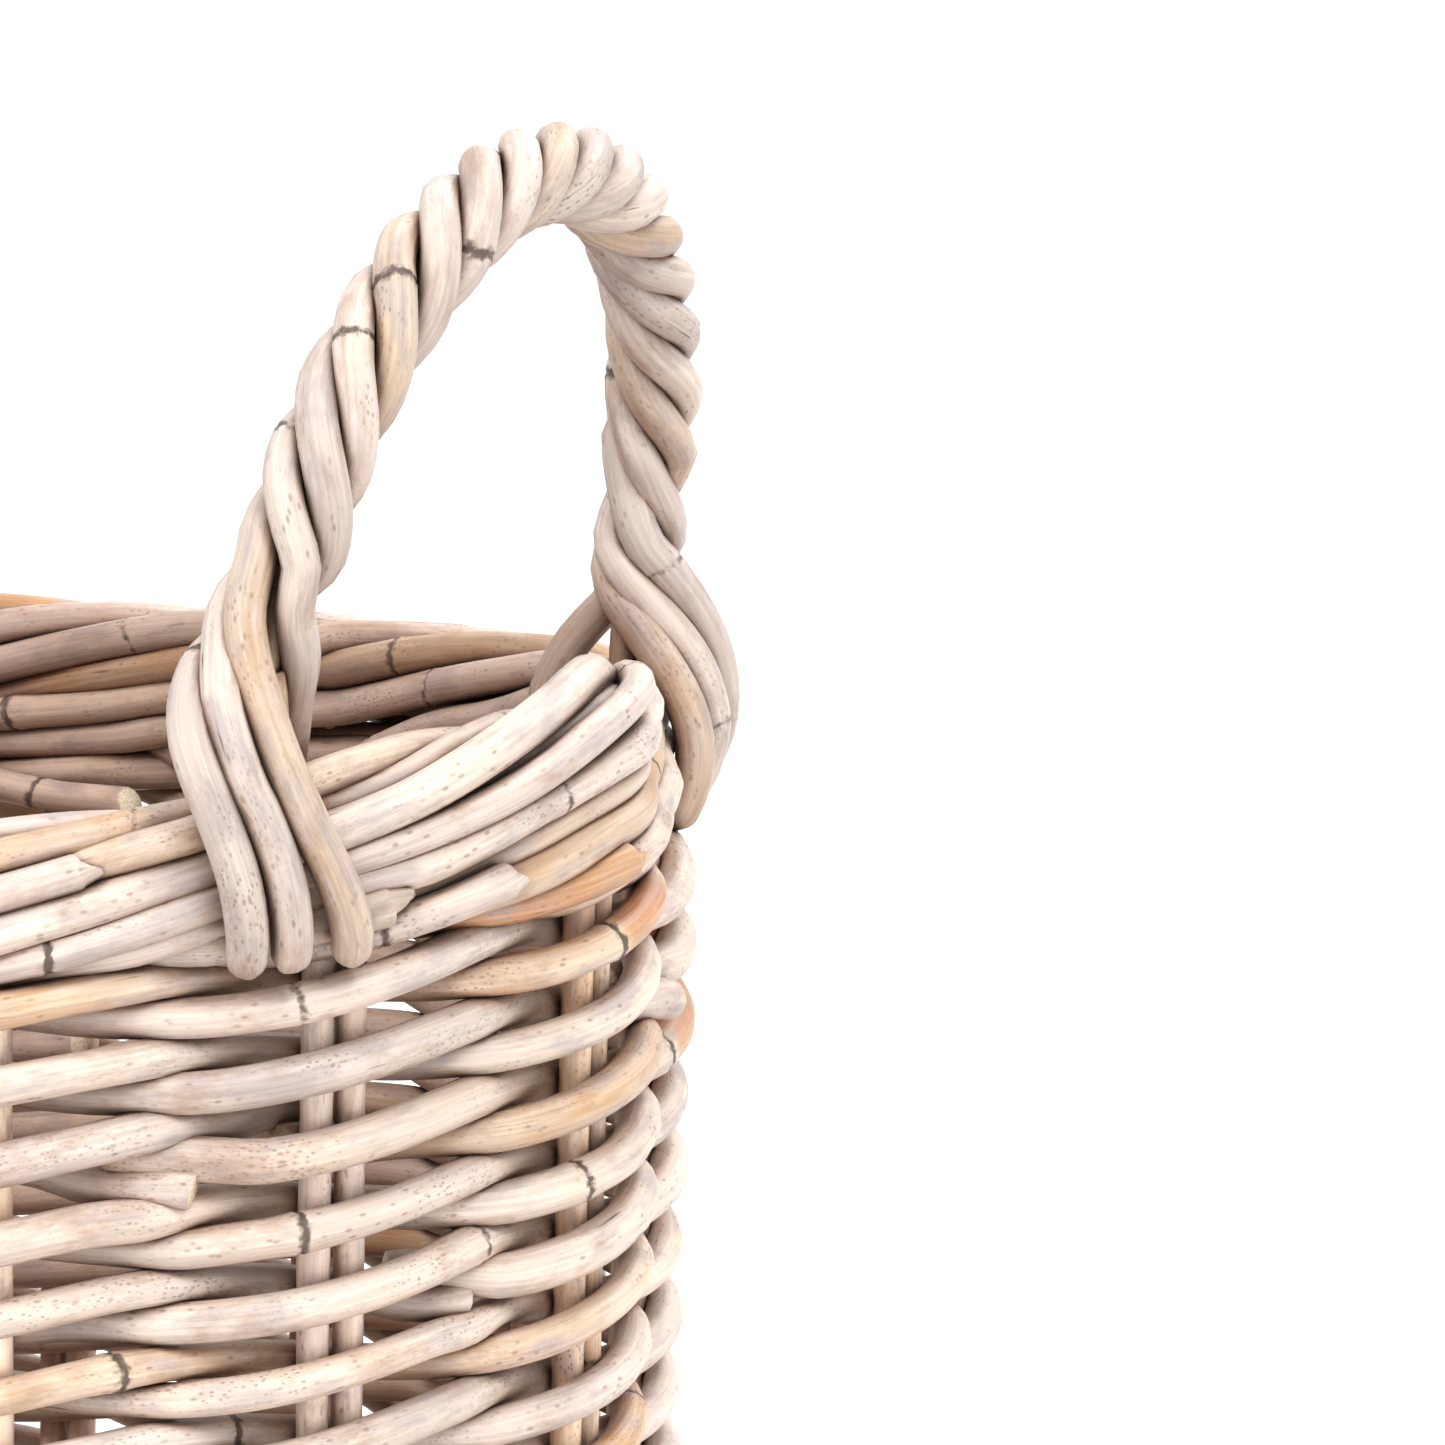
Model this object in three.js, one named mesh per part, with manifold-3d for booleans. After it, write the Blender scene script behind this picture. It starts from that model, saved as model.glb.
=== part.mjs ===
// Oval laundry basket of round rattan, hand woven, with a twisted rope handle at each end.
//
// Paired stakes stand round an oval foot. Rows of pairing, two weavers that cross between the stakes,
// fill the wall. The rolled border is lower at the long sides, rises towards the ends, where a short
// packing row fills the difference, and swells between the feet of each handle. Millimetres, +Z up,
// origin on the ground at the middle of the oval. X runs along the oval from handle to handle.

import * as THREE from "three";
import { mergeVertices } from "three/addons/utils/BufferGeometryUtils.js";
import Module from "manifold-3d";

const wasm = await Module();
wasm.setup();

// ---- driving dimensions ----------------------------------------------------------------------------

const HALF_LENGTH = 290; // stake line of the oval at the rim, along X
const HALF_WIDTH = 200; // and along Y
const WALL_LEAN = 0.03; // the wall comes in by this much for each millimetre down from the rim

const SIDE_RIM = 294; // height of the border's top at the long sides
const END_RISE = 24; // more than that towards the ends of the oval
const CROWN_RISE = 13; // and more again between the feet of a handle
const CROWN_POWER = 12; // a higher power of the cosine keeps the crown closer to the end
const BORDER_HEIGHT = 36;
const CROWN_DEPTH = 21; // the border is this much taller in the middle of the crown
const TOP_RIM = SIDE_RIM + END_RISE + CROWN_RISE;
const BORDER_STRANDS = 6;
const BORDER_STRAND_RADIUS = 5;
const BORDER_SECTION_RADIUS = 9; // the strands roll round a tall slot with round ends
const BORDER_TURNS = 3; // whole turns that one strand makes on its way round the oval
const BORDER_STEPS = 48;

const STAKE_PAIRS = 18;
const STAKE_RADIUS = 3.9;
const STAKE_OFFSET = 3.6; // from the middle of a pair to the middle of one stake
const STAKE_SIDES = 7; // flats on the round part of one stake

const WEAVER_RADIUS = 4.2;
const WEAVER_REACH = 10; // how far a weaver swings out and in, round a stake pair
const WEAVER_RISE = 4.5; // how far it swings up and down where two weavers cross
const SPLICE_RISE = 3.2; // less at the one crossing where the two weavers of a row are bound together
const SPLICE_AT = 0.5; // in stake pairs from the end of the oval
const STEPS_PER_PAIR = 2;
const FIRST_ROW = 28; // height of the lowest row's middle
const ROW_PITCH = 18;
const FULL_ROWS = 13;
const PACKING_REACH = 2; // how far the short row runs each way from the end of the oval, in stake pairs

const FOOT_HEIGHT = 14;
const FOOT_HALF_THICK = 13;
const BASE_BOTTOM = 14.4;
const BASE_TOP = 20;
const OVAL_SEGMENTS = 72;

const HANDLE_HALF_SPAN = 96;
const HANDLE_FOOT_Z = 341; // where the arch of the handle's middle line starts
const HANDLE_RISE = 99;
const HANDLE_LEAN = 20; // the top of the arch stands this much further out than its feet
const ROPE_RADIUS = 7.8; // from the rope's middle line to a ply's middle
const PLIES = 4;
const PLY_RADIUS = 4.4;
const ROPE_TURNS = 4.25;
const PLY_ARCH_STEPS = 34;
const PLY_LEG_STEPS = 5;
const LEG_DISTANCE = 19.9; // from the wall's middle to a ply that goes down beside the border
const LEG_SPREAD = 11; // between neighbouring plies outside the border
const LEG_END_Z = 268;
const SHIFT_SHARE = 0.25; // a ply has reached the side of the border after this share of its leg
const CORE_RADIUS = 2.8;
const CORE_STEPS = 22;

const GAP = 0.4; // clearance between pieces that lie against each other

// ---- materials -------------------------------------------------------------------------------------

const rattan = (name, color) => {
  const material = new THREE.MeshStandardMaterial({ color, roughness: 0.6, metalness: 0 });
  material.name = name;
  return material;
};
const STAKE_MATERIAL = rattan("stake_rattan", 0xb9aa98);
const WEAVER_MATERIAL = rattan("weaver_rattan", 0xc4b6a6);
const BORDER_MATERIAL = rattan("border_rattan", 0xc9b79d);
const HANDLE_MATERIAL = rattan("handle_rattan", 0xc7bcae);
const BASE_MATERIAL = rattan("base_rattan", 0xb09c84);

// ---- the oval --------------------------------------------------------------------------------------

// Angle on the oval at each of many equal steps of arc length, so that stakes stand evenly.
const OVAL_SAMPLES = 3600;
const arcLengths = [0];
for (let i = 1; i <= OVAL_SAMPLES; i += 1) {
  const middle = ((i - 0.5) / OVAL_SAMPLES) * 2 * Math.PI;
  const speed = Math.hypot(HALF_LENGTH * Math.sin(middle), HALF_WIDTH * Math.cos(middle));
  arcLengths.push(arcLengths[i - 1] + (speed * 2 * Math.PI) / OVAL_SAMPLES);
}
const OVAL_LENGTH = arcLengths[OVAL_SAMPLES];

// The angle at a distance counted in stake pairs from the +X end, anticlockwise seen from above.
function angleAt(pairs) {
  const turns = Math.floor(pairs / STAKE_PAIRS);
  const wanted = (pairs / STAKE_PAIRS - turns) * OVAL_LENGTH;
  let low = 0;
  let high = OVAL_SAMPLES;
  while (high - low > 1) {
    const middle = (low + high) >> 1;
    if (arcLengths[middle] > wanted) high = middle;
    else low = middle;
  }
  const part = (wanted - arcLengths[low]) / (arcLengths[high] - arcLengths[low]);
  return ((low + part) / OVAL_SAMPLES + turns) * 2 * Math.PI;
}

const crown = (angle) => Math.cos(angle) ** CROWN_POWER;
const rimHeight = (angle) =>
  SIDE_RIM + END_RISE * Math.cos(angle) ** 2 + CROWN_RISE * crown(angle);
const borderHeight = (angle) => BORDER_HEIGHT + CROWN_DEPTH * crown(angle);

const outward = (angle) =>
  new THREE.Vector3(Math.cos(angle) / HALF_LENGTH, Math.sin(angle) / HALF_WIDTH, 0).normalize();

// A point of the wall: a place round the oval, a height, and a distance out from the stake line.
function wallPoint(angle, z, out) {
  const inset = WALL_LEAN * (TOP_RIM - z);
  const x = (HALF_LENGTH - inset) * Math.cos(angle);
  const y = (HALF_WIDTH - inset) * Math.sin(angle);
  return new THREE.Vector3(x, y, z).addScaledVector(outward(angle), out);
}

// ---- geometry helpers ------------------------------------------------------------------------------

// A curve given by a function of 0 to 1, stepped evenly in that value and not by length.
class StrandPath extends THREE.Curve {
  constructor(pointAt) {
    super();
    this.pointAt = pointAt;
  }

  getPoint(t, target = new THREE.Vector3()) {
    return target.copy(this.pointAt(t));
  }

  getPointAt(t, target) {
    return this.getPoint(t, target);
  }

  getTangentAt(t, target) {
    return this.getTangent(t, target);
  }
}

// A strand that closes on itself.
const loopStrand = (pointAt, radius, steps) =>
  new THREE.TubeGeometry(new StrandPath(pointAt), steps, radius, 4, true);

// A strand with two cut ends.
function openStrand(pointAt, radius, steps, sides = 4) {
  const corners = [];
  for (let i = 0; i < sides; i += 1) {
    const angle = (i / sides) * 2 * Math.PI;
    corners.push(new THREE.Vector2(radius * Math.cos(angle), radius * Math.sin(angle)));
  }
  const section = new THREE.Shape(corners);
  return new THREE.ExtrudeGeometry(section, { steps, extrudePath: new StrandPath(pointAt) });
}

function toSolid(geometry) {
  const bare = geometry.clone();
  bare.deleteAttribute("normal");
  bare.deleteAttribute("uv");
  const merged = mergeVertices(bare, 1e-3);
  return new wasm.Manifold(
    new wasm.Mesh({
      numProp: 3,
      vertProperties: merged.attributes.position.array,
      triVerts: new Uint32Array(merged.index.array),
    }),
  );
}

function toGeometry(solid) {
  const mesh = solid.getMesh();
  const geometry = new THREE.BufferGeometry();
  geometry.setAttribute("position", new THREE.BufferAttribute(mesh.vertProperties, 3));
  geometry.setIndex(new THREE.BufferAttribute(mesh.triVerts, 1));
  geometry.computeVertexNormals();
  return geometry;
}

const join = (first, second) => toGeometry(toSolid(first).add(toSolid(second)));

const basket = new THREE.Group();

function addPiece(parent, name, geometry, material) {
  const mesh = new THREE.Mesh(geometry, material);
  mesh.name = name;
  parent.add(mesh);
  return mesh;
}

const numbered = (name, index) => name + "_" + String(index + 1).padStart(2, "0");

// ---- foot and base ---------------------------------------------------------------------------------

function ovalOutline(halfLength, halfWidth) {
  const points = [];
  for (let i = 0; i < OVAL_SEGMENTS; i += 1) {
    const angle = (i / OVAL_SEGMENTS) * 2 * Math.PI;
    points.push(new THREE.Vector2(halfLength * Math.cos(angle), halfWidth * Math.sin(angle)));
  }
  return points;
}

function addFoot() {
  const inset = WALL_LEAN * (TOP_RIM - FOOT_HEIGHT);
  const [length, width] = [HALF_LENGTH - inset, HALF_WIDTH - inset];
  const ring = new THREE.Shape(ovalOutline(length + FOOT_HALF_THICK, width + FOOT_HALF_THICK));
  ring.holes.push(new THREE.Path(ovalOutline(length - FOOT_HALF_THICK, width - FOOT_HALF_THICK)));
  const geometry = new THREE.ExtrudeGeometry(ring, { depth: FOOT_HEIGHT, bevelEnabled: false });
  addPiece(basket, "foot_border", geometry, BASE_MATERIAL);

  const edge = STAKE_RADIUS + GAP + inset;
  const mat = new THREE.Shape(ovalOutline(HALF_LENGTH - edge, HALF_WIDTH - edge));
  const thickness = BASE_TOP - BASE_BOTTOM;
  const base = new THREE.ExtrudeGeometry(mat, { depth: thickness, bevelEnabled: false });
  addPiece(basket, "base_mat", base, BASE_MATERIAL).position.z = BASE_BOTTOM;
}

// ---- stakes ----------------------------------------------------------------------------------------

// Outline of two round stakes side by side that touch, along X.
function stakePairOutline() {
  const waist = Math.acos(STAKE_OFFSET / STAKE_RADIUS);
  const points = [];
  for (const side of [1, -1]) {
    for (let i = 0; i <= STAKE_SIDES; i += 1) {
      const angle = -Math.PI + waist + (i / STAKE_SIDES) * 2 * (Math.PI - waist);
      const x = side * (STAKE_OFFSET + STAKE_RADIUS * Math.cos(angle));
      const y = side * STAKE_RADIUS * Math.sin(angle);
      const last = points[points.length - 1];
      const repeats = last && Math.hypot(last.x - x, last.y - y) < 1e-3;
      if (!repeats) points.push(new THREE.Vector2(x, y));
    }
  }
  points.pop();
  return new THREE.Shape(points);
}

function addStakes() {
  const outline = stakePairOutline();
  for (let i = 0; i < STAKE_PAIRS; i += 1) {
    const angle = angleAt(i);
    const foot = wallPoint(angle, FOOT_HEIGHT + GAP, 0);
    const head = wallPoint(angle, rimHeight(angle) - borderHeight(angle) - 2 * GAP, 0);
    const up = head.clone().sub(foot);
    const depth = up.length();
    up.normalize();
    const along = new THREE.Vector3().crossVectors(up, outward(angle)).normalize();
    const out = new THREE.Vector3().crossVectors(along, up);
    const geometry = new THREE.ExtrudeGeometry(outline, { depth, bevelEnabled: false });
    const stake = addPiece(basket, numbered("stake_pair", i), geometry, STAKE_MATERIAL);
    const turn = new THREE.Matrix4().makeBasis(along, out.negate(), up);
    stake.quaternion.setFromRotationMatrix(turn);
    stake.position.copy(foot);
  }
}

// ---- rows of pairing -------------------------------------------------------------------------------

// One of the two weavers of a row. It passes outside one stake pair and inside the next, and rises
// over its partner on the way in.
function weaverPoint(pairs, z, startPhase) {
  const phase = startPhase + Math.PI * pairs;
  const rise = Math.abs(pairs - SPLICE_AT) < 0.25 ? SPLICE_RISE : WEAVER_RISE;
  const height = z + rise * Math.sin(phase);
  return wallPoint(angleAt(pairs), height, WEAVER_REACH * Math.cos(phase));
}

function addRows() {
  for (let row = 0; row < FULL_ROWS; row += 1) {
    const z = FIRST_ROW + row * ROW_PITCH;
    const weaver = (startPhase) =>
      loopStrand(
        (t) => weaverPoint(t * STAKE_PAIRS, z, startPhase),
        WEAVER_RADIUS,
        STAKE_PAIRS * STEPS_PER_PAIR,
      );
    addPiece(basket, numbered("weave_row", row), join(weaver(0), weaver(Math.PI)), WEAVER_MATERIAL);
  }
}

function addPackingRow(end, side) {
  const z = FIRST_ROW + FULL_ROWS * ROW_PITCH;
  const weaver = (startPhase) =>
    openStrand(
      (t) => weaverPoint(PACKING_REACH * (2 * t - 1), z, startPhase),
      WEAVER_RADIUS,
      2 * PACKING_REACH * STEPS_PER_PAIR,
    );
  addPiece(end, "packing_row_" + side, join(weaver(0), weaver(Math.PI)), WEAVER_MATERIAL);
}

// ---- border ----------------------------------------------------------------------------------------

// Outline that the border's strands roll round: a slot with round ends, as [out, up] from its middle,
// for a share of one turn that starts outside at mid height and goes up.
function borderSection(share, height) {
  const radius = BORDER_SECTION_RADIUS;
  const straight = height / 2 - BORDER_STRAND_RADIUS - radius;
  const length = 4 * straight + 2 * Math.PI * radius;
  const place = (share - Math.floor(share)) * length;
  const topArc = straight + Math.PI * radius;
  const inside = topArc + 2 * straight;
  const bottomArc = inside + Math.PI * radius;
  if (place < straight) return [radius, place];
  if (place < topArc) {
    const angle = (place - straight) / radius;
    return [radius * Math.cos(angle), straight + radius * Math.sin(angle)];
  }
  if (place < inside) return [-radius, straight - (place - topArc)];
  if (place < bottomArc) {
    const angle = Math.PI + (place - inside) / radius;
    return [radius * Math.cos(angle), -straight + radius * Math.sin(angle)];
  }
  return [radius, place - length];
}

function borderPoint(pairs, firstShare) {
  const angle = angleAt(pairs);
  const height = borderHeight(angle);
  const [out, up] = borderSection(firstShare + (BORDER_TURNS * pairs) / STAKE_PAIRS, height);
  return wallPoint(angle, rimHeight(angle) - height / 2 + up, out);
}

function addBorder() {
  for (let i = 0; i < BORDER_STRANDS; i += 1) {
    const pointAt = (t) => borderPoint(t * STAKE_PAIRS, i / BORDER_STRANDS);
    const geometry = loopStrand(pointAt, BORDER_STRAND_RADIUS, BORDER_STEPS);
    addPiece(basket, numbered("border_strand", i), geometry, BORDER_MATERIAL);
  }
}

// ---- handles ---------------------------------------------------------------------------------------

const FOOT_ANGLE = Math.asin(HANDLE_HALF_SPAN / HALF_WIDTH);
const FOOT_X = wallPoint(FOOT_ANGLE, HANDLE_FOOT_Z, 0).x;

// Middle line of the arch; bend runs from -90 degrees at one foot to 90 at the other, 0 at the top.
function archPoint(bend) {
  const rise = Math.cos(bend);
  return new THREE.Vector3(
    FOOT_X + HANDLE_LEAN * rise,
    HANDLE_HALF_SPAN * Math.sin(bend),
    HANDLE_FOOT_Z + HANDLE_RISE * rise,
  );
}

// A point beside the arch, at a distance and a turn round its middle line.
function ropePoint(bend, distance, turn) {
  const step = 1e-3;
  const tangent = archPoint(bend + step).sub(archPoint(bend - step)).normalize();
  const swing = Math.atan2(outward(FOOT_ANGLE).y, outward(FOOT_ANGLE).x) * Math.sin(bend);
  const out = new THREE.Vector3(Math.cos(swing), Math.sin(swing), 0);
  out.addScaledVector(tangent, -out.dot(tangent)).normalize();
  const across = new THREE.Vector3().crossVectors(tangent, out);
  const point = archPoint(bend);
  point.addScaledVector(out, distance * Math.cos(turn));
  return point.addScaledVector(across, distance * Math.sin(turn));
}

// Where a ply stands at the foot of the arch decides its way down: three plies go outside the border,
// side by side, and the fourth goes inside.
function legPoint(side, turn, z) {
  const inside = Math.cos(turn) < -0.5;
  const sideways = Math.round(Math.sin(turn)) * LEG_SPREAD;
  const rimAngle = side * FOOT_ANGLE;
  const along = new THREE.Vector3(0, 0, 1).cross(outward(rimAngle));
  const point = wallPoint(rimAngle, z, inside ? -LEG_DISTANCE : LEG_DISTANCE);
  return point.addScaledVector(along, -side * sideways);
}

const smooth = (t) => t * t * (3 - 2 * t);

function plyPoint(t, firstTurn) {
  const legShare = PLY_LEG_STEPS / (PLY_ARCH_STEPS + 2 * PLY_LEG_STEPS);
  const along = (t - legShare) / (1 - 2 * legShare);
  if (along >= 0 && along <= 1) {
    const turn = firstTurn - ROPE_TURNS * 2 * Math.PI * along;
    return ropePoint((along - 0.5) * Math.PI, ROPE_RADIUS, turn);
  }
  const side = along < 0 ? -1 : 1;
  const down = (side < 0 ? legShare - t : t - 1 + legShare) / legShare;
  const turn = firstTurn - (side < 0 ? 0 : ROPE_TURNS * 2 * Math.PI);
  const top = ropePoint((side * Math.PI) / 2, ROPE_RADIUS, turn);
  const z = top.z + (LEG_END_Z - top.z) * down;
  const shift = smooth(Math.min(1, down / SHIFT_SHARE));
  top.z = z;
  return top.lerp(legPoint(side, turn, z), shift);
}

function addHandle(end, side) {
  for (let i = 0; i < PLIES; i += 1) {
    const firstTurn = (i / PLIES) * 2 * Math.PI;
    const steps = PLY_ARCH_STEPS + 2 * PLY_LEG_STEPS;
    const geometry = openStrand((t) => plyPoint(t, firstTurn), PLY_RADIUS, steps);
    addPiece(end, numbered("handle_ply_" + side, i), geometry, HANDLE_MATERIAL);
  }
  const core = openStrand(
    (t) => ropePoint((t - 0.5) * Math.PI, 0, 0),
    CORE_RADIUS,
    CORE_STEPS,
    5,
  );
  addPiece(end, "handle_core_" + side, core, HANDLE_MATERIAL);
}

// ---- assembly --------------------------------------------------------------------------------------

addFoot();
addStakes();
addRows();
addBorder();

const rightEnd = new THREE.Group();
const leftEnd = new THREE.Group();
leftEnd.rotation.z = Math.PI;
basket.add(rightEnd, leftEnd);
for (const [end, side] of [
  [rightEnd, "right"],
  [leftEnd, "left"],
]) {
  addPackingRow(end, side);
  addHandle(end, side);
}

export default basket;
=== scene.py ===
from math import atan2, cos, pi, radians, sin

import bpy
import numpy as np
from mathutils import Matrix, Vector
from mathutils.kdtree import KDTree


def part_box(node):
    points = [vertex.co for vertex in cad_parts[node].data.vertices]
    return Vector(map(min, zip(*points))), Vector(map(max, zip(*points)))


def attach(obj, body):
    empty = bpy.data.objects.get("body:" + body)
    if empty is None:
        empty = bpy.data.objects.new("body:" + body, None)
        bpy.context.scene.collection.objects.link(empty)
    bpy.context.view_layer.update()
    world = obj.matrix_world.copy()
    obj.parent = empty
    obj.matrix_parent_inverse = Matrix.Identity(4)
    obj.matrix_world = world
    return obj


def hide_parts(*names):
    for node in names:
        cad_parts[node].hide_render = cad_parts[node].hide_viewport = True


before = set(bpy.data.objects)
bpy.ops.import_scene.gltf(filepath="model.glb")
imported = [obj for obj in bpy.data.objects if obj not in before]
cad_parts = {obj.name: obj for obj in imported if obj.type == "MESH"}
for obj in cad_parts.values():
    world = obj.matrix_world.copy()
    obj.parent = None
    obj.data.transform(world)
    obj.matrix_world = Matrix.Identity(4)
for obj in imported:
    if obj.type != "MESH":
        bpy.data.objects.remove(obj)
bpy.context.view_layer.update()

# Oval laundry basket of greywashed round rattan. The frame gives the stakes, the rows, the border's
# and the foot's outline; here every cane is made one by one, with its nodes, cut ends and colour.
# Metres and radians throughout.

MM = 0.001


def node_box(name):
    low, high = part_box(name)
    return np.array(low), np.array(high)


def node_middle(name):
    low, high = node_box(name)
    return (low[2] + high[2]) / 2


def nodes_starting(prefix):
    return sorted(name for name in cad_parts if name.startswith(prefix))


def put_in_scene(name, data):
    made = bpy.data.objects.new(name, data)
    bpy.context.scene.collection.objects.link(made)
    return made


# ---- the oval, read from the frame ----

STAKE_NODES = nodes_starting("stake_pair")
ROW_NODES = nodes_starting("weave_row")
BORDER_NODES = nodes_starting("border_strand")
PAIRS = len(STAKE_NODES)

WALL_LEAN = 0.03  # the wall comes in this much for each metre down
BORDER_HALF_DEPTH = 14 * MM  # the rolled border reaches this far out from the stake line
FOOT_HALF_DEPTH = 13 * MM

TOP_RIM = max(node_box(name)[1][2] for name in BORDER_NODES)
FOOT_HIGH = node_box("foot_border")[1]
FOOT_INSET = WALL_LEAN * (TOP_RIM - FOOT_HIGH[2])
HALF_LENGTH = FOOT_HIGH[0] - FOOT_HALF_DEPTH + FOOT_INSET  # stake line at the height of the rim
HALF_WIDTH = FOOT_HIGH[1] - FOOT_HALF_DEPTH + FOOT_INSET

END_RISE = 24 * MM  # the rim climbs by this from the long sides to the ends
CROWN_RISE = 13 * MM  # and by this much more between the feet of a handle
CROWN_POWER = 12
SIDE_RIM = TOP_RIM - END_RISE - CROWN_RISE
BORDER_HEIGHT = 36 * MM
CROWN_DEPTH = 21 * MM
FAR_RISE = 4 * MM  # made by hand, the rim is this much higher along one long side
FAR_DEPTH = 2.8  # and the border is deeper there by this many times as much

ANGLES = np.linspace(0, 2 * pi, 3601)
STRIDES = np.hypot(np.diff(HALF_LENGTH * np.cos(ANGLES)), np.diff(HALF_WIDTH * np.sin(ANGLES)))
LENGTHS = np.concatenate([[0], np.cumsum(STRIDES)])
SPACING = LENGTHS[-1] / PAIRS  # round the oval, from one pair of stakes to the next


def angle_at(pairs):
    """Angle on the oval at a distance counted in stake pairs from the +X end."""
    pairs = np.asarray(pairs, float)
    turns = np.floor(pairs / PAIRS)
    return np.interp((pairs - turns * PAIRS) * SPACING, LENGTHS, ANGLES) + turns * 2 * pi


def outward(angle):
    normal = np.stack([np.cos(angle) / HALF_LENGTH, np.sin(angle) / HALF_WIDTH], -1)
    return normal / np.linalg.norm(normal, axis=-1, keepdims=True)


def half_sizes(z):
    """Half the length and half the width of the stake line at a height."""
    inset = WALL_LEAN * (TOP_RIM - z)
    return HALF_LENGTH - inset, HALF_WIDTH - inset


def stake_line_at(angle, z):
    half_x, half_y = half_sizes(z)
    return np.stack([half_x * np.cos(angle), half_y * np.sin(angle)], -1)


def wall_points(pairs, z, out):
    """Points at a place round the oval, a height and a distance out from the stake line."""
    angle = angle_at(pairs)
    z = np.broadcast_to(np.asarray(z, float), angle.shape)
    flat = stake_line_at(angle, z)
    flat = flat + outward(angle) * np.broadcast_to(np.asarray(out, float), angle.shape)[..., None]
    return np.concatenate([flat, z[..., None]], -1)


INSIDE_FADE = 9 * MM  # the inside's browner, darker colour (less wash, and painted shade) fades in over this depth through the wall
RIM_FADE = 12 * MM  # and over this height, from a little above the rim
RIM_MARGIN = 4 * MM


def inside_wall(points, facing):
    """0 outside the wall, up to 1 inside the basket where the surface faces its middle."""
    half_x, half_y = half_sizes(points[:, 2])
    x = points[:, 0] / half_x
    y = points[:, 1] / half_y
    out = (np.hypot(x, y) - 1) * np.hypot(points[:, 0], points[:, 1])
    below = np.clip((TOP_RIM + RIM_MARGIN - points[:, 2]) / RIM_FADE, 0, 1)
    inward = -np.sum(facing[:, :2] * outward(np.arctan2(y, x)), axis=1)
    return np.clip(0.4 - out / INSIDE_FADE, 0, 1) * below * np.clip(0.6 + inward, 0, 1)


def crown(angle):
    return np.cos(angle) ** CROWN_POWER


HANDLE_HALF_SPAN = 96 * MM
FOOT_ANGLE = float(np.arcsin(HANDLE_HALF_SPAN / HALF_WIDTH))  # where the handles meet the wall
FOOT_PAIRS = float(np.interp(FOOT_ANGLE, ANGLES, LENGTHS)) / SPACING
LACING_REACH = 22 * MM


def nearness_to_foot(pairs):
    """1 where a handle is laced round the border, falling to 0 a few centimetres away."""
    from_end = np.abs(pairs_past_end(pairs))
    return np.exp(-((from_end - FOOT_PAIRS) * SPACING / LACING_REACH) ** 2)


def pairs_past_end(pairs):
    """Stake pairs past the nearer end of the oval, going the way the border rolls."""
    return (pairs + PAIRS / 4) % (PAIRS / 2) - PAIRS / 4


def ramp(value, low, high):
    """0 below low, 1 above high and smooth between."""
    share = np.clip((value - low) / (high - low), 0, 1)
    return share * share * (3 - 2 * share)


def rim_height(angle):
    return SIDE_RIM + END_RISE * np.cos(angle) ** 2 + CROWN_RISE * crown(angle) + uneven_rise(angle)


def uneven_rise(angle):
    return FAR_RISE * np.maximum(np.sin(angle), 0) ** 2


def border_height(angle):
    return BORDER_HEIGHT + CROWN_DEPTH * crown(angle) + FAR_DEPTH * uneven_rise(angle)


# ---- canes ----

STEP = 4.5 * MM  # length of cane between rings of vertices
SIDES = 12
CUT_BEVEL = 0.5 * MM
SNUG = 0.97  # canes that lie together press into each other a little
CUT_NARROWING = 0.86  # a cane's cut face is this much of its thickness
END_DIRT = 20 * MM  # dirt fades over this distance from a cut end
SCAR_REACH = 5.2 * MM
SCAR_CLEARING = 6.5 * MM  # the regular rings keep this far from a leaf scar
SCAR_FROM_END = 12 * MM
FLUSH_HUE = 0.95
FLUSH_REACH = (0.04, 0.11)
TIP_RINGS = np.array([0.12, 0.28, 0.48, 0.72, 1.0])
# A leaf scar: distances along the cane from it, its swelling and how dark it is there.
SCAR_OFFSETS = np.array([-5.0, -2.2, -1.1, -0.5, 0.0, 0.5, 1.1, 2.2, 5.0]) * MM
SCAR_SWELL = np.array([0.01, 0.035, 0.06, 0.035, -0.02, 0.03, 0.05, 0.03, 0.01])
SCAR_DARK = np.array([0.0, 0.22, 0.55, 0.9, 1.0, 0.9, 0.55, 0.22, 0.0])

WAVES = ((1.0, 0.6), (0.53, 0.35), (0.27, 0.2))  # share of the length, strength


def wobble(rng, length, strength):
    """A smooth random function of distance, of about this strength, with waves near length."""
    waves = [(length * f, rng.uniform(0, 2 * pi), w) for f, w in WAVES]
    return lambda s: strength * sum(w * np.sin(2 * pi * s / wave + phase) for wave, phase, w in waves)


def smooth_line(points, passes):
    """The same line with its kinks rounded; the ends stay."""
    points = points.copy()
    for _ in range(passes):
        points[1:-1] = 0.25 * points[:-2] + 0.5 * points[1:-1] + 0.25 * points[2:]
    return points


def along_line(points):
    return np.concatenate([[0], np.cumsum(np.linalg.norm(np.diff(points, axis=0), axis=1))])


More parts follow.
